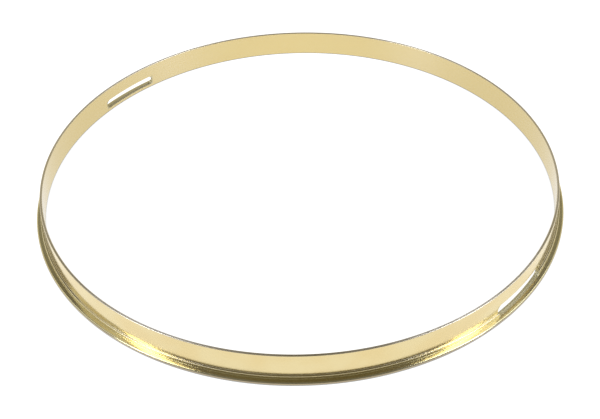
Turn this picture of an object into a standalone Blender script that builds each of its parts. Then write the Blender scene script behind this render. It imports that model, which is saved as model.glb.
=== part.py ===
"""Flanged counterhoop for a 14 inch snare drum: a brass band standing in a stepped flange ring.

The ring lies on its flange with its axis along Z and its origin at the middle of the base.
The two snare gates are centred on the X axis. Lengths are in metres.
"""

import math

import bmesh
import bpy
from mathutils import Matrix, Vector

MM = 0.001

# Driving dimensions. The bore is measured at the rim; the band widens towards its foot.
BORE_RADIUS = 180.0 * MM
BAND_FLARE = 1.0 * MM
FLANGE_RADIUS = 187.0 * MM
HOOP_HEIGHT = 19.9 * MM
BAND_THICKNESS = 1.8 * MM
FIT_GAP = 0.3 * MM

# The stepped flange ring: a collar against the band, and the flange outside it.
COLLAR_RADIUS = 183.8 * MM
COLLAR_HEIGHT = 4.5 * MM
FLANGE_THICKNESS = 2.2 * MM

# Edge roundings, all small against the walls they finish.
RIM_ROUND = 0.5 * MM
BAND_FOOT_ROUND = 0.4 * MM
COLLAR_ROUND = 0.4 * MM
FLANGE_TOP_ROUND = 1.1 * MM
FLANGE_BASE_ROUND = 0.9 * MM
ROUND_STEPS = 3

# The braze fillet in the corner between the band and the top of the collar.
BRAZE_LEG = 0.5 * MM
BRAZE_ARC_STEPS = 3
BRAZE_END_CLEARANCE = 0.6 * MM

# Snare gates: long holes with round ends, opposite each other.
GATE_LENGTH = 49.0 * MM
GATE_BOTTOM = 2.3 * MM
GATE_TOP = 9.6 * MM
GATE_END_STEPS = 10
GATE_CUTTER_DEPTH = 24.0 * MM

# Butt joints, closed by brazed filler; the two rings have theirs on opposite sides.
FLANGE_JOINT_ANGLE = math.radians(27.0)
BAND_JOINT_ANGLE = FLANGE_JOINT_ANGLE + math.pi
FILLER_THICKNESS = 0.6 * MM
JOINT_WIDTH = FILLER_THICKNESS + 2.0 * FIT_GAP

RING_STEPS = 144
SHARP_ANGLE = math.radians(40.0)
CUTTER_MARGIN = 5.0 * MM

BAND_OUTER_RADIUS = BORE_RADIUS + BAND_THICKNESS


def remove_scene_objects():
    for obj in list(bpy.data.objects):
        bpy.data.objects.remove(obj, do_unlink=True)


def make_collection(name):
    collection = bpy.data.collections.new(name)
    bpy.context.scene.collection.children.link(collection)
    return collection


def make_material(name, colour, roughness, metallic=1.0):
    material = bpy.data.materials.new(name)
    material.use_nodes = True
    shader = material.node_tree.nodes["Principled BSDF"]
    shader.inputs["Base Color"].default_value = (*colour, 1.0)
    shader.inputs["Roughness"].default_value = roughness
    shader.inputs["Metallic"].default_value = metallic
    material.diffuse_color = (*colour, 1.0)
    return material


def add_object(name, mesh, collection, material=None):
    obj = bpy.data.objects.new(name, mesh)
    collection.objects.link(obj)
    if material is not None:
        mesh.materials.append(material)
    return obj


def rounded_outline(corners, steps=ROUND_STEPS):
    """Outline of (radius, height) points; each corner is (radius, height, rounding)."""
    outline = []
    count = len(corners)
    for index, (radius, height, rounding) in enumerate(corners):
        corner = Vector((radius, height))
        if rounding == 0.0:
            outline.append(corner)
            continue
        before = Vector(corners[index - 1][:2]) - corner
        after = Vector(corners[(index + 1) % count][:2]) - corner
        before.normalize()
        after.normalize()
        half_turn = before.angle(after) / 2.0
        centre = corner + (before + after).normalized() * (rounding / math.sin(half_turn))
        start = corner + before * (rounding / math.tan(half_turn))
        swept = before.angle_signed(-after)
        spoke = start - centre
        for step in range(steps + 1):
            turn = Matrix.Rotation(-swept * step / steps, 2)
            outline.append(centre + turn @ spoke)
    return outline


def turned_object(name, outline, collection, material):
    """Turn a closed outline, listed clockwise from its top, once round the Z axis."""
    mesh = bpy.data.meshes.new(name)
    points = [(radius, 0.0, height) for radius, height in outline]
    edges = [(index, (index + 1) % len(points)) for index in range(len(points))]
    mesh.from_pydata(points, edges, [])
    obj = add_object(name, mesh, collection, material)
    screw = obj.modifiers.new("turn", "SCREW")
    screw.steps = RING_STEPS
    screw.render_steps = RING_STEPS
    screw.use_merge_vertices = True
    screw.merge_threshold = 0.00001
    screw.use_smooth_shade = True
    return obj


def band_flare_at(height):
    """How much wider the band is at that height than at its rim."""
    return BAND_FLARE * (HOOP_HEIGHT - height) / HOOP_HEIGHT


def fitted_radius(height):
    """Radius at that height of the surfaces that face the outside of the band."""
    return BAND_OUTER_RADIUS + band_flare_at(height) + FIT_GAP


def band_outline():
    return rounded_outline([
        (BORE_RADIUS, HOOP_HEIGHT, RIM_ROUND),
        (BAND_OUTER_RADIUS, HOOP_HEIGHT, RIM_ROUND),
        (BAND_OUTER_RADIUS + BAND_FLARE, 0.0, BAND_FOOT_ROUND),
        (BORE_RADIUS + BAND_FLARE, 0.0, BAND_FOOT_ROUND),
    ])


def flange_outline():
    return rounded_outline([
        (fitted_radius(COLLAR_HEIGHT), COLLAR_HEIGHT, 0.0),
        (COLLAR_RADIUS, COLLAR_HEIGHT, COLLAR_ROUND),
        (COLLAR_RADIUS, FLANGE_THICKNESS, 0.0),
        (FLANGE_RADIUS, FLANGE_THICKNESS, FLANGE_TOP_ROUND),
        (FLANGE_RADIUS, 0.0, FLANGE_BASE_ROUND),
        (fitted_radius(0.0), 0.0, 0.0),
    ])


def braze_outline():
    """Concave fillet: a right-angled corner whose long side is a quarter circle."""
    base = COLLAR_HEIGHT + FIT_GAP
    inner = fitted_radius(base)
    outline = [Vector((inner, base))]
    for step in range(BRAZE_ARC_STEPS + 1):
        angle = math.pi + math.pi / 2.0 * step / BRAZE_ARC_STEPS
        offset = Vector((math.cos(angle), math.sin(angle))) * BRAZE_LEG
        outline.append(Vector((inner + BRAZE_LEG, base + BRAZE_LEG)) + offset)
    return outline


def box_mesh(name, size, centre):
    mesh = bpy.data.meshes.new(name)
    shape = bmesh.new()
    placed = Matrix.Translation(centre) @ Matrix.Diagonal((*size, 1.0))
    bmesh.ops.create_cube(shape, size=1.0, matrix=placed)
    shape.to_mesh(mesh)
    shape.free()
    return mesh


def make_cutter(name, mesh, collection, angle=0.0):
    cutter = add_object(name, mesh, collection)
    cutter.rotation_euler.z = angle
    cutter.hide_render = True
    cutter.display_type = "WIRE"
    return cutter


def gate_cutter(name, angle, collection):
    """A bar along the radius whose section is the gate: straight sides and round ends."""
    height = GATE_TOP - GATE_BOTTOM
    size = (GATE_CUTTER_DEPTH, GATE_LENGTH, height)
    mesh = box_mesh(name, size, (BORE_RADIUS, 0.0, (GATE_BOTTOM + GATE_TOP) / 2.0))
    shape = bmesh.new()
    shape.from_mesh(mesh)
    radial = [edge for edge in shape.edges
              if abs(edge.verts[0].co.x - edge.verts[1].co.x) > GATE_CUTTER_DEPTH / 2.0]
    bmesh.ops.bevel(shape, geom=radial, offset=height / 2.0 * 0.999, segments=GATE_END_STEPS,
                    profile=0.5, affect="EDGES", clamp_overlap=True)
    shape.to_mesh(mesh)
    shape.free()
    return make_cutter(name, mesh, collection, angle)


def joint_cutter(name, angle, collection):
    """A thin upright slab that opens a ring at its butt joint."""
    depth = FLANGE_RADIUS - BORE_RADIUS + 2.0 * CUTTER_MARGIN
    size = (depth, JOINT_WIDTH, HOOP_HEIGHT + 2.0 * CUTTER_MARGIN)
    centre = ((BORE_RADIUS + FLANGE_RADIUS) / 2.0, 0.0, HOOP_HEIGHT / 2.0)
    return make_cutter(name, box_mesh(name, size, centre), collection, angle)


def braze_cutter(name, angle, collection):
    """A block that leaves only the arc of the braze fillet from one gate to the other."""
    reach = FLANGE_RADIUS + CUTTER_MARGIN
    end = GATE_LENGTH / 2.0 + BRAZE_END_CLEARANCE
    size = (2.0 * reach, reach + end, HOOP_HEIGHT)
    mesh = box_mesh(name, size, (0.0, (end - reach) / 2.0, HOOP_HEIGHT / 2.0))
    return make_cutter(name, mesh, collection, angle)


def cut(obj, cutter):
    boolean = obj.modifiers.new("cut " + cutter.name, "BOOLEAN")
    boolean.operation = "DIFFERENCE"
    boolean.solver = "EXACT"
    boolean.object = cutter


def smooth_round_faces(obj):
    """Replace the modifiers by their result, shaded smooth up to the sharp edges."""
    evaluated = obj.evaluated_get(bpy.context.evaluated_depsgraph_get())
    mesh = bpy.data.meshes.new_from_object(evaluated)
    obj.modifiers.clear()
    obj.data = mesh
    mesh.shade_smooth()
    mesh.set_sharp_from_angle(angle=SHARP_ANGLE)


def filler_object(name, outline, angle, collection, material):
    """Braze filler: the ring's own section, one filler thickness along the ring."""
    mesh = bpy.data.meshes.new(name)
    shape = bmesh.new()
    half = FILLER_THICKNESS / 2.0
    near = [shape.verts.new((radius, -half, height)) for radius, height in outline]
    face = shape.faces.new(near)
    grown = bmesh.ops.extrude_face_region(shape, geom=[face])
    far = [item for item in grown["geom"] if isinstance(item, bmesh.types.BMVert)]
    bmesh.ops.translate(shape, verts=far, vec=(0.0, FILLER_THICKNESS, 0.0))
    bmesh.ops.recalc_face_normals(shape, faces=shape.faces)
    shape.to_mesh(mesh)
    shape.free()
    obj = add_object(name, mesh, collection, material)
    obj.rotation_euler.z = angle
    return obj


def build():
    remove_scene_objects()
    parts = make_collection("flanged_counterhoop")
    cutters = make_collection("cutters")

    band_brass = make_material("band_brass", (0.83, 0.66, 0.33), 0.22)
    flange_brass = make_material("flange_brass", (0.78, 0.62, 0.30), 0.25)
    braze = make_material("braze_alloy", (0.72, 0.62, 0.42), 0.35)

    band = turned_object("hoop_band", band_outline(), parts, band_brass)
    flange = turned_object("flange_ring", flange_outline(), parts, flange_brass)
    rings = [band, flange]

    for side, angle in (("a", 0.0), ("b", math.pi)):
        gate = gate_cutter("gate_cutter_" + side, angle, cutters)
        cut(band, gate)
        cut(flange, gate)
        fillet = turned_object("foot_braze_" + side, braze_outline(), parts, braze)
        cut(fillet, braze_cutter("braze_cutter_" + side, angle, cutters))
        rings.append(fillet)
    cut(band, joint_cutter("band_joint_cutter", BAND_JOINT_ANGLE, cutters))
    cut(flange, joint_cutter("flange_joint_cutter", FLANGE_JOINT_ANGLE, cutters))

    bpy.context.view_layer.update()
    for piece in rings:
        smooth_round_faces(piece)

    filler_object("band_joint_filler", band_outline(), BAND_JOINT_ANGLE, parts, braze)
    filler_object("flange_joint_filler", flange_outline(), FLANGE_JOINT_ANGLE, parts, braze)


build()
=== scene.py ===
"""Looks for the flanged counterhoop: finely turned brass rings on a white studio floor.

Lengths are in millimetres until a mesh is made, and in metres in the scene.
"""

import math

import bpy
from mathutils import Matrix, Vector


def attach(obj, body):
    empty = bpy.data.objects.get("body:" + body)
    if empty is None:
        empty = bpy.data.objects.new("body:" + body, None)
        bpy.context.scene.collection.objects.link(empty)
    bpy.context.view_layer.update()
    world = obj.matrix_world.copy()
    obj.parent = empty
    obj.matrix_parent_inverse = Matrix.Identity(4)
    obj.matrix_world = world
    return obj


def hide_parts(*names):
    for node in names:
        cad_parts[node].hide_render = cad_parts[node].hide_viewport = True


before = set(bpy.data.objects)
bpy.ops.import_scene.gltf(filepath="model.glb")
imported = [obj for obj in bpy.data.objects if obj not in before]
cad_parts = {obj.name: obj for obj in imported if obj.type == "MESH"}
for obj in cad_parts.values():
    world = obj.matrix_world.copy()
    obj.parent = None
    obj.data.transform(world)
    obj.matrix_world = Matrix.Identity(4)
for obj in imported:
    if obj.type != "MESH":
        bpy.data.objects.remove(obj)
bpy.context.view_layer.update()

MM = 0.001

# Sizes shared with the CAD source.
BORE = 180.0
BAND_OUT = 181.8
FLARE = 1.0
FLANGE_OUT = 187.0
HEIGHT = 19.9
COLLAR_OUT = 183.8
COLLAR_TOP = 4.5
FLANGE_TOP = 2.2
GATE_LENGTH = 49.0
GATE_LOW = 2.3
GATE_HIGH = 9.6
GATE_ANGLES = (0.0, math.pi)
FLANGE_JOINT = math.radians(27.0)
BAND_JOINT = FLANGE_JOINT + math.pi
JOINT_GAP = 0.1

# Edge roundings of the finished rings.
RIM_ROUND = 0.45
BAND_FOOT_ROUND = 0.4
COLLAR_ROUND = 0.45
CREASE_ROUND = 0.25
FLANGE_TOP_ROUND = 1.1
FLANGE_BASE_ROUND = 0.9
GATE_ROUND = 0.22
FILLET_LEG = 0.3
FILLET_FADE = 4.0
FILLET_TIP = 0.15
FILLET_SUNK = 0.02
GATE_TO_FILLET = 0.6

# How finely the meshes are cut. HOLD is the narrow flat beside a rounding that keeps it crisp.
ROUND_STEPS = 7
RIM_STEPS = 6
FOOT_STEPS = 5
FILLET_STEPS = 5
GATE_END_STEPS = 14
GATE_EDGE_STEPS = 4
HOLD = 0.06
LONGEST_FACE = 1.2
LONGEST_FLAT = 1.6
WHOLE = 100.0
GATE_LEAD = 0.1
GATE_WALL_INSET = 0.6
TOUCHING = 1e-6
CUT_LEAD = 1.2
CUT_TURNS = (0.0, math.radians(30), math.radians(60))
WALL_SHARES = (0.0, 0.02, 0.1, 0.22, 0.36, 0.5, 0.64, 0.78, 0.9, 0.98)
SHARP_ANGLE = math.radians(50.0)

# Metal tones: the inner wall's painted bounce light, the outer edge's painted shade, the gates' cut
# faces, the wide highlight and the rubbed edges with painted sheen. INNER_HAZE is the wide
# highlight's extra share on the inner wall.
INNER_PAINTED_BOUNCE = (0.68, 0.53, 0.205)
INNER_HAZE = 0.1
EDGE_PAINTED_SHADE = (0.36, 0.30, 0.20)
CUT_FACE = (0.56, 0.48, 0.24)
PALE = (0.90, 0.90, 0.88)
WORN_AND_SHEEN = (0.76, 0.66, 0.46)
LINE_ANISOTROPY = 0.75
WIDE_ANISOTROPY = 0.65
WIDE_ROUGHNESS = 0.5
LINE_BUMP = 0.06
LINE_DEPTH = 0.02 * MM
INNER_EDGES = (BORE + 1.4, BORE + 0.9)

# The studio. The sky's steps are (degrees above the floor, grey).
BACKDROP = ((0.0, 0.95), (27.0, 0.8), (37.0, 0.35), (48.0, 0.11), (60.0, 0.1), (90.0, 0.18))
CAMERA_SIDE = ((0.0, 0.8), (10.0, 0.5), (22.0, 0.18), (40.0, 0.18), (60.0, 0.22), (90.0, 0.18))
SIDES_MEET = (-0.1, 0.5)
FLOOR_REACH = 6.0
FLOOR_DROP = 0.0002
CONTACT_REACH = 0.002
CONTACT_SAMPLES = 16
CONTACT_RAMP = (0.15, 0.6)
CONTACT_SHADOW_DARK = 0.02
POOL_WIDTH = 0.12
POOL_GAIN = 0.2
POOL_MARGIN = 2.0
DAYLIGHT = (0.9, 1.0, 1.35)
BOX_LIFT = 43.0
BOX_DISTANCE = 1.1

# Soft boxes: degrees to the right of straight away, width, height, and brightness as seen.
SOFT_BOXES = {
    "left_box": (-113.5, 0.2, 0.72, 7.5),
    "right_box": (113.0, 0.19, 0.72, 7.5),
    "left_spill": (-86.0, 0.5, 0.75, 0.9),
    "right_spill": (86.0, 0.5, 0.75, 2.0),
}

# The view.
VIEW_AZIMUTH = math.radians(311.05)
VIEW_TILT = 0.70246
VIEW_DISTANCE = 724.736 * MM
VIEW_SIDE = 0.033 * MM
VIEW_LIFT = 18.12 * MM
VIEW_ROLL = math.radians(1.5237)
SENSOR_WIDTH = 36.0
LENS = 60.0
CLIP = (0.01, 50.0)


# ---------------------------------------------------------------- outlines

def arc(corner, before, after, radius, steps):
    """Points of the rounding of a corner between the directions to its neighbours."""
    before, after = before.normalized(), after.normalized()
    half = before.angle(after) / 2.0
    centre = corner + (before + after).normalized() * (radius / math.sin(half))
    spoke = corner + before * (radius / math.tan(half)) - centre
    sweep = -before.angle_signed(-after)
    return [centre + Matrix.Rotation(sweep * i / steps, 2) @ spoke for i in range(steps + 1)]


def outline(corners, longest=LONGEST_FLAT):
    """Closed outline through rounded corners (radius, height, rounding), held flat between them."""
    runs = []
    count = len(corners)
    for i, (r, z, rounding) in enumerate(corners):
        corner = Vector((r, z))
        before = Vector(corners[i - 1][:2]) - corner
        after = Vector(corners[(i + 1) % count][:2]) - corner
        if rounding:
            runs.append(arc(corner, before, after, rounding, ROUND_STEPS))
        else:
            runs.append([corner])
    points = []
    for i, run in enumerate(runs):
        points += run
        start, end = run[-1], runs[(i + 1) % count][0]
        span = end - start
        inset = min(HOLD, span.length / 4.0)
        if span.length < 1e-4:
            continue
        along = span.normalized()
        first, last = start + along * inset, end - along * inset
        cuts = max(1, int((last - first).length / longest))
        points += [first.lerp(last, k / cuts) for k in range(cuts + 1)]
    return points


# ---------------------------------------------------------------- meshes

def flare(z):
    """How much wider the band is at that height than at its rim."""
    return FLARE * (HEIGHT - z) / HEIGHT


class Builder:
    """Collects the points and faces of one mesh."""

    def __init__(self, zero):
        self.zero = zero
        self.points = []
        self.faces = []

    def add(self, s, r, z):
        """A point s millimetres round the ring from the zero angle, at radius r and height z."""
        angle = self.zero + s / BAND_OUT
        self.points.append((r * math.cos(angle) * MM, r * math.sin(angle) * MM, z * MM))
        return len(self.points) - 1

    def strip(self, near, far, closed=False):
        """Quads between two rows of points of the same length."""
        count = len(near)
        for i in range(count if closed else count - 1):
            j = (i + 1) % count
            quad = [near[i], near[j], far[j], far[i]]
            kept = [p for k, p in enumerate(quad) if p != quad[k - 1]]
            if len(set(kept)) > 2:
                self.faces.append(kept)

    def finish(self, name, material, nodes):
        """Make the mesh, in place of those nodes of the CAD part."""
        mesh = bpy.data.meshes.new(name)
        mesh.from_pydata(self.points, [], self.faces)
        mesh.validate()
        mesh.materials.append(material)
        mesh.shade_smooth()
        mesh.set_sharp_from_angle(angle=SHARP_ANGLE)
        obj = bpy.data.objects.new(name, mesh)
        bpy.context.scene.collection.objects.link(obj)
        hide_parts(*nodes)
        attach(obj, "root")


def spread(start, end, longest):
    """Evenly spaced numbers from start to end, no further apart than longest."""
    count = max(1, math.ceil(abs(end - start) / longest))
    return [start + (end - start) * i / count for i in range(count + 1)]


def gate_columns(middle, grow):
    """(place, half height) across a gate whose outline is grown by that much, tip to tip."""
    half = (GATE_HIGH - GATE_LOW) / 2.0 + grow
    straight = GATE_LENGTH / 2.0 - (GATE_HIGH - GATE_LOW) / 2.0
    turns = [math.pi / 2.0 * i / GATE_END_STEPS for i in range(GATE_END_STEPS + 1)]
    left = [(-straight - half * math.cos(t), half * math.sin(t)) for t in turns]
    flat = [(s, half) for s in spread(-straight, straight, LONGEST_FACE)[1:-1]]
    right = [(-s, h) for s, h in reversed(left)]
    return [(middle + s, h) for s, h in left + flat + right]


def ring_places(zero):
    """Where the gates' middles are, in millimetres round from the zero angle, in order."""
    places = [((angle - zero) % (2.0 * math.pi)) * BAND_OUT for angle in GATE_ANGLES]
    return sorted(places)


def make_band(material):
    """The band: a rolled strip, with two gates whose edges are deburred."""
    b = Builder(BAND_JOINT)
    length = 2.0 * math.pi * BAND_OUT
    gates = [gate_columns(middle, GATE_ROUND) for middle in ring_places(BAND_JOINT)]
    columns = []
    place = JOINT_GAP / 2.0
    for gate in gates:
        run = spread(place, gate[0][0] - GATE_LEAD, LONGEST_FACE)
        columns += [(s, 0.0) for s in run] + gate
        place = gate[-1][0] + GATE_LEAD
    columns += [(s, 0.0) for s in spread(place, length - JOINT_GAP / 2.0, LONGEST_FACE)]
    middle = (GATE_LOW + GATE_HIGH) / 2.0

    out, back, up, down = Vector((1, 0)), Vector((-1, 0)), Vector((0, 1)), Vector((0, -1))
    rim = arc(Vector((BAND_OUT, HEIGHT)), down, back, RIM_ROUND, RIM_STEPS)
    rim += [Vector((BAND_OUT - RIM_ROUND - HOLD, HEIGHT)), Vector((BORE + RIM_ROUND + HOLD, HEIGHT))]
    rim += arc(Vector((BORE, HEIGHT)), out, down, RIM_ROUND, RIM_STEPS)
    foot = arc(Vector((BORE, 0)), up, out, BAND_FOOT_ROUND, FOOT_STEPS)
    foot += arc(Vector((BAND_OUT, 0)), back, up, BAND_FOOT_ROUND, FOOT_STEPS)

    upper, lower = [], []
    for s, half in columns:
        top, base = middle + half, middle - half
        rise = [top + (HEIGHT - RIM_ROUND - top) * t for t in WALL_SHARES]
        drop = [base + (BAND_FOOT_ROUND - base) * t for t in WALL_SHARES]
        over = [b.add(s, BAND_OUT + flare(z), z) for z in rise]
        over += [b.add(s, p.x + flare(p.y), p.y) for p in rim]
        over += [b.add(s, BORE + flare(z), z) for z in reversed(rise)]
        if half > TOUCHING:
            start, end = b.add(s, BORE + flare(base), base), b.add(s, BAND_OUT + flare(base), base)
        else:
            start, end = over[-1], over[0]
        under = [start] + [b.add(s, BORE + flare(z), z) for z in drop[1:]]
        under += [b.add(s, p.x + flare(p.y), p.y) for p in foot]
        under += [b.add(s, BAND_OUT + flare(z), z) for z in reversed(drop[1:])] + [end]
        upper.append(over)
        lower.append(under)
    for i in range(len(columns) - 1):
        b.strip(upper[i + 1], upper[i])
        b.strip(lower[i + 1], lower[i])
    for i, flip in ((0, False), (len(columns) - 1, True)):
        cap = upper[i] + lower[i][1:-1]
        b.faces.append(cap[::-1] if flip else cap)

    # The gates' own walls run from the outer face to the bore, over a rounding at each side.
    index = {round(s, 6): i for i, (s, half) in enumerate(columns)}
    turns = [math.pi / 2.0 * i / GATE_EDGE_STEPS for i in range(GATE_EDGE_STEPS + 1)]
    depths = [(1.0 - math.sin(t), 1.0 - math.cos(t)) for t in turns]
    straight = GATE_LENGTH / 2.0 - (GATE_HIGH - GATE_LOW) / 2.0
    for gate in gates:
        cols = [index[round(s, 6)] for s, half in gate]
        loop = [(i, 1) for i in cols] + [(i, -1) for i in reversed(cols[1:-1])]
        centre = (gate[0][0] + gate[-1][0]) / 2.0
        outer = [upper[i][0] if side > 0 else lower[i][-1] for i, side in loop]
        inner = [upper[i][-1] if side > 0 else lower[i][0] for i, side in loop]
        rows = [outer]
        levels = [(wide, BAND_OUT - GATE_ROUND * deep) for wide, deep in depths[1:]]
        levels += [(0.0, BAND_OUT - GATE_WALL_INSET), (0.0, BORE + GATE_WALL_INSET)]
        levels += [(wide, BORE + GATE_ROUND * deep) for wide, deep in reversed(depths[1:])]
        for wide, r in levels:
            row = []
            for i, side in loop:
                s, half = columns[i]
                away = s - centre
                lean = max(abs(away) - straight, 0.0) * (1 if away > 0 else -1)
                normal = Vector((lean, side * half))
                normal.normalize()
                shift = GATE_ROUND * (wide - 1.0)
                z = middle + side * half + normal.y * shift
                row.append(b.add(s + normal.x * shift, r + flare(z), z))
            rows.append(row)
        rows.append(inner)
        for near, far in zip(rows, rows[1:]):
            b.strip(near, far, closed=True)
    b.finish("band", material, ["hoop_band"])


def flange_section(top):
    """Outline of the flange ring where its collar is cut down to that height."""
    step = max(top - FLANGE_TOP, 0.0)
    rounding = min(COLLAR_ROUND, step * 0.6)
    crease = min(CREASE_ROUND, step * 0.2)
    return outline([
        (BAND_OUT + flare(top), top, 0.0),
        (COLLAR_OUT, top, rounding),
        (COLLAR_OUT, FLANGE_TOP, crease),
        (FLANGE_OUT, FLANGE_TOP, FLANGE_TOP_ROUND),
        (FLANGE_OUT, 0.0, FLANGE_BASE_ROUND),
        (BAND_OUT + flare(0.0), 0.0, 0.0),
    ], longest=WHOLE)


def make_flange(material):
    """The stepped flange ring, its collar cut down where the gates are."""
    b = Builder(FLANGE_JOINT)
    length = 2.0 * math.pi * BAND_OUT
    middle = (GATE_LOW + GATE_HIGH) / 2.0
    columns = []
    place = JOINT_GAP / 2.0
    for where in ring_places(FLANGE_JOINT):
        cut = [(s, middle - half) for s, half in gate_columns(where, 0.0)
               if middle - half < COLLAR_TOP - GATE_ROUND]
        edge = cut[0][0] - where
        lead = [(edge - GATE_ROUND * (CUT_LEAD - math.sin(t)),
                 COLLAR_TOP - GATE_ROUND * (1.0 - math.cos(t))) for t in CUT_TURNS]
        run = spread(place, where + lead[0][0] - GATE_LEAD, LONGEST_FACE)
        columns += [(s, COLLAR_TOP) for s in run]
        columns += [(where + s, z) for s, z in lead] + cut
        columns += [(where - s, z) for s, z in reversed(lead)]
        place = where - lead[0][0] + GATE_LEAD
    columns += [(s, COLLAR_TOP) for s in spread(place, length - JOINT_GAP / 2.0, LONGEST_FACE)]
    rows = [[b.add(s, p.x, p.y) for p in flange_section(top)] for s, top in columns]
    for near, far in zip(rows, rows[1:]):
        b.strip(near, far, closed=True)
    b.faces.append(rows[0][::-1])
    b.faces.append(rows[-1])
    b.finish("flange", material, ["flange_ring"])


def make_fillet(name, start, end, material, node):
    """Braze fillet along the corner between the band and the collar, fading at its ends."""
    b = Builder(0.0)
    corner = Vector((BAND_OUT + flare(COLLAR_TOP) - FILLET_SUNK, COLLAR_TOP - FILLET_SUNK))
    rows = []
    for s in spread(start * BAND_OUT, end * BAND_OUT, LONGEST_FACE):
        near_end = min(s - start * BAND_OUT, end * BAND_OUT - s)
        size = FILLET_LEG * (FILLET_TIP + (1.0 - FILLET_TIP) * min(1.0, near_end / FILLET_FADE))
        points = [corner]
        for i in range(FILLET_STEPS + 1):
            angle = math.pi + math.pi / 2.0 * i / FILLET_STEPS
            points.append(corner + Vector((size, size))
                          + Vector((math.cos(angle), math.sin(angle))) * size)
        rows.append([b.add(s, p.x, p.y) for p in points])
    for near, far in zip(rows, rows[1:]):
        b.strip(far, near, closed=True)
    b.faces.append(rows[0])
    b.faces.append(rows[-1][::-1])
    b.finish(name, material, [node])


def make_filler(name, points, angle, material, node):
    """Filler of a butt joint, flush with the ring's own surface."""
    b = Builder(angle)
    rows = [[b.add(s, p.x, p.y) for p in points] for s in (-JOINT_GAP / 2.0, JOINT_GAP / 2.0)]
    b.strip(rows[0], rows[1], closed=True)
    b.faces.append(rows[0][::-1])
    b.faces.append(rows[1])
    b.finish(name, material, [node])


# ---------------------------------------------------------------- materials

class Nodes:
    """Short names for the nodes of one material tree."""

    def __init__(self, tree):
        self.tree = tree
        place = self.new("ShaderNodeTexCoord").outputs["Object"]
        split = self.new("ShaderNodeSeparateXYZ")
        self.tree.links.new(place, split.inputs["Vector"])
        self.place = place
        self.x, self.y, self.z = (split.outputs[axis] for axis in "XYZ")
        x_square = self.math("MULTIPLY", self.x, self.x)
        y_square = self.math("MULTIPLY", self.y, self.y)
        self.radius = self.math("SQRT", self.math("ADD", x_square, y_square))
        self.turn = self.math("ARCTAN2", self.y, self.x)

    def new(self, kind):
        """A new node of that kind."""
        return self.tree.nodes.new(kind)

    def plug(self, value, socket):
        """Give the socket a value, or link it to the socket that has it."""
        if isinstance(value, bpy.types.NodeSocket):
            self.tree.links.new(value, socket)
        else:
            socket.default_value = value

    def math(self, operation, first, second=0.0, clamp=False):
        node = self.new("ShaderNodeMath")
        node.operation = operation
        node.use_clamp = clamp
        self.plug(first, node.inputs[0])
        self.plug(second, node.inputs[1])
        return node.outputs[0]

    def ramp(self, value, low, high, start=0.0, end=1.0):
        """The value's way from low to high, as a smooth step from start to end."""
        node = self.new("ShaderNodeMapRange")
        node.interpolation_type = "SMOOTHSTEP"
        for socket, number in (("Value", value), ("From Min", low), ("From Max", high),
                               ("To Min", start), ("To Max", end)):
            self.plug(number, node.inputs[socket])
        return node.outputs["Result"]

    def around(self, along, across):
        """Coordinates that run round the ring: so many steps per radian and per millimetre."""
        node = self.new("ShaderNodeCombineXYZ")
        self.plug(self.math("MULTIPLY", self.turn, along), node.inputs["X"])
        self.plug(self.math("MULTIPLY", self.z, across / MM), node.inputs["Y"])
        self.plug(self.math("MULTIPLY", self.radius, across / MM), node.inputs["Z"])
        return node.outputs["Vector"]

    def noise(self, place, scale, detail, rough=0.55):
        """Fractal noise from 0 to 1."""
        node = self.new("ShaderNodeTexNoise")
        self.plug(place, node.inputs["Vector"])
        node.inputs["Scale"].default_value = scale
        node.inputs["Detail"].default_value = detail
        node.inputs["Roughness"].default_value = rough
        return node.outputs["Fac"]

    def blend(self, share, first, second):
        """The first colour, with that share of the second mixed in."""
        node = self.new("ShaderNodeMix")
        node.data_type = "RGBA"
        self.plug(share, node.inputs["Factor"])
        for socket, colour in ((node.inputs["A"], first), (node.inputs["B"], second)):
            self.plug(colour if isinstance(colour, bpy.types.NodeSocket) else (*colour, 1.0), socket)
        return node.outputs["Result"]


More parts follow.
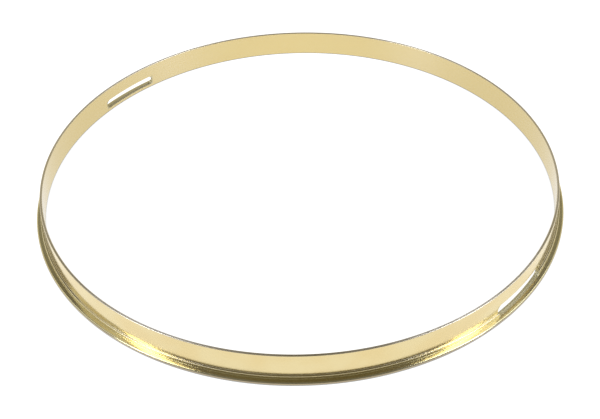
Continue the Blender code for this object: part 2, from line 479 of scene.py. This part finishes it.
def turned_brass(name, colour, deep, roughness, haze):
    """Lacquered brass with fine lines round the ring.

    colour and deep are the tones between which the metal varies. haze is the share of a second,
    much wider highlight across the lines.
    """
    material = bpy.data.materials.new(name)
    material.use_nodes = True
    n = Nodes(material.node_tree)
    shader = material.node_tree.nodes["Principled BSDF"]
    shader.inputs["Metallic"].default_value = 1.0
    shader.inputs["Anisotropic"].default_value = LINE_ANISOTROPY
    shader.inputs["Anisotropic Rotation"].default_value = 0.25
    tangent = n.new("ShaderNodeTangent")
    tangent.direction_type = "RADIAL"
    tangent.axis = "Z"
    n.plug(tangent.outputs["Tangent"], shader.inputs["Tangent"])

    # Turned lines round the ring, soft clouds, and broad patches.
    lines = n.noise(n.around(6.0, 5.0), 1.0, 4.0, 0.6)
    clouds = n.noise(n.place, 14.0, 4.0)
    patches = n.noise(n.around(7.0, 0.05), 1.0, 2.0)

    # Masks from 0 to 1 for the parts of the surface, over heights and radii in millimetres.
    height = n.math("DIVIDE", n.z, MM)
    reach = n.math("DIVIDE", n.radius, MM)
    rim = n.ramp(height, HEIGHT - 0.6, HEIGHT - 0.15)
    corner = n.math("MULTIPLY", n.ramp(reach, COLLAR_OUT - 0.45, COLLAR_OUT - 0.15),
                    n.ramp(height, COLLAR_TOP - 0.45, COLLAR_TOP - 0.15))
    edge = n.ramp(reach, FLANGE_OUT - 0.5, FLANGE_OUT - 0.1)
    # The gates' cut faces: within a gate's length and height, where only they have any metal.
    gate_end = GATE_LENGTH / 2.0 * MM
    within = n.ramp(n.math("ABSOLUTE", n.y), gate_end + 0.0003, gate_end + 0.0001)
    between = n.math("MULTIPLY", n.ramp(height, GATE_LOW - 0.08, GATE_LOW - 0.02),
                     n.ramp(height, GATE_HIGH + 0.08, GATE_HIGH + 0.02))
    gate = n.math("MULTIPLY", within, between)
    # Rim and collar corner: rubbed wear, and a lighter tone there that is also painted sheen for what
    # the rim reflects.
    rubbed_and_sheen = n.math("MULTIPLY", n.math("MAXIMUM", rim, corner), n.ramp(clouds, 0.35, 0.6, 0.55, 1.0))

    tone = n.blend(n.ramp(patches, 0.3, 0.7), colour, deep)
    inside = n.ramp(reach, *INNER_EDGES)
    # Painted reflection: the inner wall is tinted deeper yellow, standing in for light bounced
    # between the ring and the floor inside it.
    tone = n.blend(n.math("MULTIPLY", inside, 0.85), tone, INNER_PAINTED_BOUNCE)
    tone = n.blend(n.math("MULTIPLY", n.ramp(lines, 0.35, 0.75), 0.14), tone, deep)
    tone = n.blend(n.math("MULTIPLY", rubbed_and_sheen, 0.8), tone, WORN_AND_SHEEN)
    tone = n.blend(gate, tone, CUT_FACE)
    # Painted shade: the flange's outer edge is darkened all round, standing in for the shaded floor
    # it reflects.
    tone = n.blend(n.math("MULTIPLY", edge, n.ramp(clouds, 0.3, 0.7, 0.8, 1.0)), tone, EDGE_PAINTED_SHADE)
    n.plug(tone, shader.inputs["Base Color"])

    spread_out = n.ramp(lines, 0.25, 0.8, roughness * 0.85, roughness * 1.3)
    spread_out = n.math("ADD", spread_out, n.ramp(clouds, 0.35, 0.75, 0.0, 0.05))
    spread_out = n.math("ADD", spread_out, n.math("MULTIPLY", rubbed_and_sheen, 0.2))
    spread_out = n.math("ADD", spread_out, n.math("MULTIPLY", gate, 0.3))
    spread_out = n.math("ADD", spread_out, n.math("MULTIPLY", edge, 0.06), clamp=True)
    n.plug(spread_out, shader.inputs["Roughness"])

    bump = n.new("ShaderNodeBump")
    bump.inputs["Strength"].default_value = LINE_BUMP
    bump.inputs["Distance"].default_value = LINE_DEPTH
    n.plug(lines, bump.inputs["Height"])
    n.plug(bump.outputs["Normal"], shader.inputs["Normal"])

    wide = n.new("ShaderNodeBsdfAnisotropic")
    wide.inputs["Anisotropy"].default_value = WIDE_ANISOTROPY
    wide.inputs["Roughness"].default_value = WIDE_ROUGHNESS
    n.plug(tangent.outputs["Tangent"], wide.inputs["Tangent"])
    n.plug((*PALE, 1.0), wide.inputs["Color"])
    both = n.new("ShaderNodeMixShader")
    n.plug(n.ramp(reach, *INNER_EDGES, haze, haze + INNER_HAZE), both.inputs["Fac"])
    n.plug(shader.outputs["BSDF"], both.inputs[1])
    n.plug(wide.outputs["BSDF"], both.inputs[2])
    n.plug(both.outputs["Shader"], material.node_tree.nodes["Material Output"].inputs["Surface"])
    return material


band_brass = turned_brass("band_brass", colour=(0.71, 0.60, 0.33), deep=(0.69, 0.555, 0.275),
                          roughness=0.11, haze=0.03)
flange_brass = turned_brass("flange_brass", colour=(0.72, 0.61, 0.28), deep=(0.66, 0.54, 0.22),
                            roughness=0.13, haze=0.06)
braze_alloy = turned_brass("braze_alloy", colour=(0.68, 0.58, 0.35), deep=(0.60, 0.50, 0.28),
                           roughness=0.28, haze=0.08)

make_band(band_brass)
make_flange(flange_brass)
fillet_end = (GATE_LENGTH / 2.0 + GATE_TO_FILLET) / BAND_OUT
make_fillet("braze_fillet_a", fillet_end, math.pi - fillet_end, braze_alloy, "foot_braze_a")
make_fillet("braze_fillet_b", math.pi + fillet_end, 2.0 * math.pi - fillet_end, braze_alloy,
            "foot_braze_b")
band_section = outline([
    (BORE, HEIGHT, RIM_ROUND),
    (BAND_OUT, HEIGHT, RIM_ROUND),
    (BAND_OUT + FLARE, 0.0, BAND_FOOT_ROUND),
    (BORE + FLARE, 0.0, BAND_FOOT_ROUND),
])
make_filler("band_joint", band_section, BAND_JOINT, braze_alloy, "band_joint_filler")
make_filler("flange_joint", flange_section(COLLAR_TOP), FLANGE_JOINT, braze_alloy,
            "flange_joint_filler")


# ---------------------------------------------------------------- studio

def direction(turn, lift):
    """Unit vector seen from the ring's middle: turn is to the right of straight away, in degrees."""
    ahead = VIEW_AZIMUTH + math.pi - math.radians(turn)
    lift = math.radians(lift)
    flat = math.cos(lift)
    return Vector((math.cos(ahead) * flat, math.sin(ahead) * flat, math.sin(lift)))


def floor_material():
    """White that gives off light, with a painted contact shadow right under the ring and a painted
    pool of light across the middle.
    """
    material = bpy.data.materials.new("white_floor")
    material.use_nodes = True
    tree = material.node_tree
    tree.nodes.clear()
    n = Nodes(tree)
    # Painted contact shadow: the floor's glow is darkened where the ring is near.
    contact = n.new("ShaderNodeAmbientOcclusion")
    contact.samples = CONTACT_SAMPLES
    contact.inputs["Distance"].default_value = CONTACT_REACH
    ramp = n.new("ShaderNodeValToRGB")
    dark, white = ramp.color_ramp.elements
    dark.position, white.position = CONTACT_RAMP
    dark.color = (CONTACT_SHADOW_DARK, CONTACT_SHADOW_DARK, CONTACT_SHADOW_DARK, 1.0)
    n.plug(contact.outputs["AO"], ramp.inputs["Fac"])

    # Painted pool of light: the floor glows brighter outside the ring, and inside it in a band across
    # the middle.
    side = direction(90.0, 0.0)
    across = n.math("ADD", n.math("MULTIPLY", n.x, side.x), n.math("MULTIPLY", n.y, side.y))
    across = n.math("DIVIDE", across, POOL_WIDTH)
    pool = n.math("EXPONENT", n.math("MULTIPLY", n.math("MULTIPLY", across, across), -1.0))
    outside = n.ramp(n.radius, BORE * MM, (FLANGE_OUT + POOL_MARGIN) * MM)
    pool = n.math("MAXIMUM", pool, outside)

    light = n.new("ShaderNodeEmission")
    n.plug(ramp.outputs["Color"], light.inputs["Color"])
    n.plug(n.math("ADD", n.math("MULTIPLY", pool, POOL_GAIN), 1.0), light.inputs["Strength"])
    output = n.new("ShaderNodeOutputMaterial")
    n.plug(light.outputs["Emission"], output.inputs["Surface"])
    return material


def make_floor():
    """A wide plain floor, a hair below the ring."""
    edge = FLOOR_REACH
    mesh = bpy.data.meshes.new("floor")
    mesh.from_pydata([(-edge, -edge, 0), (edge, -edge, 0), (edge, edge, 0), (-edge, edge, 0)],
                     [], [(0, 1, 2, 3)])
    mesh.materials.append(floor_material())
    floor = bpy.data.objects.new("floor", mesh)
    floor.location.z = -FLOOR_DROP
    bpy.context.scene.collection.objects.link(floor)


def soft_box(name, turn, width, height, strength):
    """Rectangular light that faces the ring's middle. strength is its brightness as seen."""
    data = bpy.data.lights.new(name, "AREA")
    data.shape = "RECTANGLE"
    data.size, data.size_y = width, height
    data.energy = strength * width * height * math.pi
    data.color = DAYLIGHT
    lamp = bpy.data.objects.new(name, data)
    place = direction(turn, BOX_LIFT) * BOX_DISTANCE
    lamp.location = place
    lamp.rotation_mode = "QUATERNION"
    lamp.rotation_quaternion = place.to_track_quat("Z", "Y")
    bpy.context.scene.collection.objects.link(lamp)


def sky_ramp(tree, height, steps):
    """Greys by the height of the direction; steps are (degrees above the floor, grey)."""
    node = tree.nodes.new("ShaderNodeValToRGB")
    elements = node.color_ramp.elements
    for i, (lift, grey) in enumerate(steps):
        element = elements[i] if i < 2 else elements.new(1.0)
        element.position = math.sin(math.radians(lift))
        element.color = (grey, grey, grey, 1.0)
    tree.links.new(height, node.inputs["Fac"])
    return node.outputs["Color"]


def make_world():
    """A white backdrop behind the ring, low white walls at the camera's side, dark above."""
    world = bpy.data.worlds.new("studio")
    world.use_nodes = True
    tree = world.node_tree
    place = tree.nodes.new("ShaderNodeTexCoord").outputs["Generated"]
    split = tree.nodes.new("ShaderNodeSeparateXYZ")
    tree.links.new(place, split.inputs["Vector"])
    behind = sky_ramp(tree, split.outputs["Z"], BACKDROP)
    before = sky_ramp(tree, split.outputs["Z"], CAMERA_SIDE)
    ahead = tree.nodes.new("ShaderNodeVectorMath")
    ahead.operation = "DOT_PRODUCT"
    tree.links.new(place, ahead.inputs[0])
    ahead.inputs[1].default_value = direction(0.0, 0.0)
    share = tree.nodes.new("ShaderNodeMapRange")
    share.interpolation_type = "SMOOTHSTEP"
    share.inputs["From Min"].default_value, share.inputs["From Max"].default_value = SIDES_MEET
    tree.links.new(ahead.outputs["Value"], share.inputs["Value"])
    both = tree.nodes.new("ShaderNodeMix")
    both.data_type = "RGBA"
    tree.links.new(share.outputs["Result"], both.inputs["Factor"])
    tree.links.new(before, both.inputs["A"])
    tree.links.new(behind, both.inputs["B"])
    tree.links.new(both.outputs["Result"], tree.nodes["Background"].inputs["Color"])
    bpy.context.scene.world = world


def make_camera():
    """The camera at the photo's angle, tilted down towards the ring and rolled a little."""
    ahead = direction(0.0, 0.0)
    side = Vector((ahead.y, -ahead.x, 0.0))
    forward = ahead * math.cos(VIEW_TILT) - Vector((0, 0, math.sin(VIEW_TILT)))
    up = ahead * math.sin(VIEW_TILT) + Vector((0, 0, math.cos(VIEW_TILT)))
    data = bpy.data.cameras.new("camera")
    data.sensor_width = SENSOR_WIDTH
    data.lens = LENS
    data.clip_start, data.clip_end = CLIP
    camera = bpy.data.objects.new("camera", data)
    place = -forward * VIEW_DISTANCE - side * VIEW_SIDE - up * VIEW_LIFT
    turned_side = side * math.cos(VIEW_ROLL) - up * math.sin(VIEW_ROLL)
    turned_up = side * math.sin(VIEW_ROLL) + up * math.cos(VIEW_ROLL)
    axes = Matrix((turned_side, turned_up, -forward)).transposed()
    camera.matrix_world = Matrix.Translation(place) @ axes.to_4x4()
    bpy.context.scene.collection.objects.link(camera)
    bpy.context.scene.camera = camera


make_floor()
make_world()
for box, settings in SOFT_BOXES.items():
    soft_box(box, *settings)
make_camera()
bpy.context.scene.view_settings.view_transform = "Standard"
